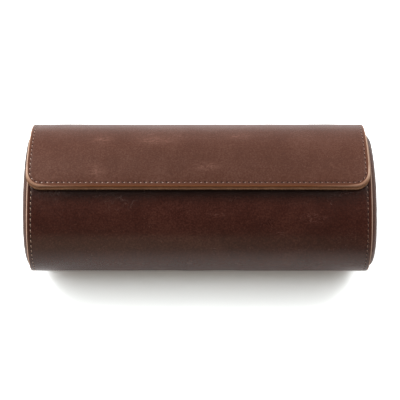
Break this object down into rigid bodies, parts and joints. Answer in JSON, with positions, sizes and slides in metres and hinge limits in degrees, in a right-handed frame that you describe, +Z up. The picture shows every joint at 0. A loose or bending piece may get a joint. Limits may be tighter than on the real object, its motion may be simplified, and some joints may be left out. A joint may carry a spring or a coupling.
{
  "type": "watch travel case",
  "caption": "Rigid oval leather travel case for wrist watches: a tube with padded ends, a hinged leather flap with a hidden magnet latch, and lift-out cushions between dividers.",
  "frame": {"origin": "middle of the flat foot that the case rests on", "axes": "+X along the case to its right end, -Y to the front where the flap's free edge lies, +Z up"},
  "size_m": [0.2274, 0.1007, 0.0742],
  "materials": {
    "wrap_leather": "satin",
    "flap_leather": "satin",
    "backing_leather": "matte",
    "binding_leather": "satin",
    "suede": "matte",
    "board": "matte",
    "foam": "matte",
    "steel": "satin"
  },
  "bodies": {
    "case": {"body_leather": "wrap_leather", "body_board": "board", "body_lining": "suede", "mouth_binding": "binding_leather", "hinge_strip": "flap_leather", "end_leather_left": "wrap_leather", "end_pad_left": "foam", "end_board_left": "board", "end_lining_left": "suede", "divider_board_left": "board", "divider_suede_left": "suede", "lip_magnet_left": "steel", "end_leather_right": "wrap_leather", "end_pad_right": "foam", "end_board_right": "board", "end_lining_right": "suede", "divider_board_right": "board", "divider_suede_right": "suede", "lip_magnet_right": "steel"},
    "flap": {"flap_leather": "flap_leather", "flap_backing": "backing_leather", "flap_lining": "suede", "flap_magnet_left": "steel", "flap_magnet_right": "steel"},
    "cushion_left": {"cushion_cover_left": "suede", "cushion_core_left": "foam"},
    "cushion_middle": {"cushion_cover_middle": "suede", "cushion_core_middle": "foam"},
    "cushion_right": {"cushion_cover_right": "suede", "cushion_core_right": "foam"}
  },
  "joints": [
    {"name": "flap_hinge", "type": "hinge", "parent": "case", "child": "flap", "pos_m": [0, 0.04673, 0.01536], "axis": [-1, 0, 0], "range_deg": [0, 112]},
    {"name": "cushion_left_lift", "type": "slide", "parent": "case", "child": "cushion_left", "axis": [0, 0.8501, 0.5266], "range_m": [0, 0.066]},
    {"name": "cushion_middle_lift", "type": "slide", "parent": "case", "child": "cushion_middle", "axis": [0, 0.8501, 0.5266], "range_m": [0, 0.066]},
    {"name": "cushion_right_lift", "type": "slide", "parent": "case", "child": "cushion_right", "axis": [0, 0.8501, 0.5266], "range_m": [0, 0.066]}
  ],
  "couplings": [
    {"joint": "cushion_left_lift", "follows": "flap_hinge", "m_per_rad": 0.03376},
    {"joint": "cushion_middle_lift", "follows": "flap_hinge", "m_per_rad": 0.03376},
    {"joint": "cushion_right_lift", "follows": "flap_hinge", "m_per_rad": 0.03376}
  ]
}
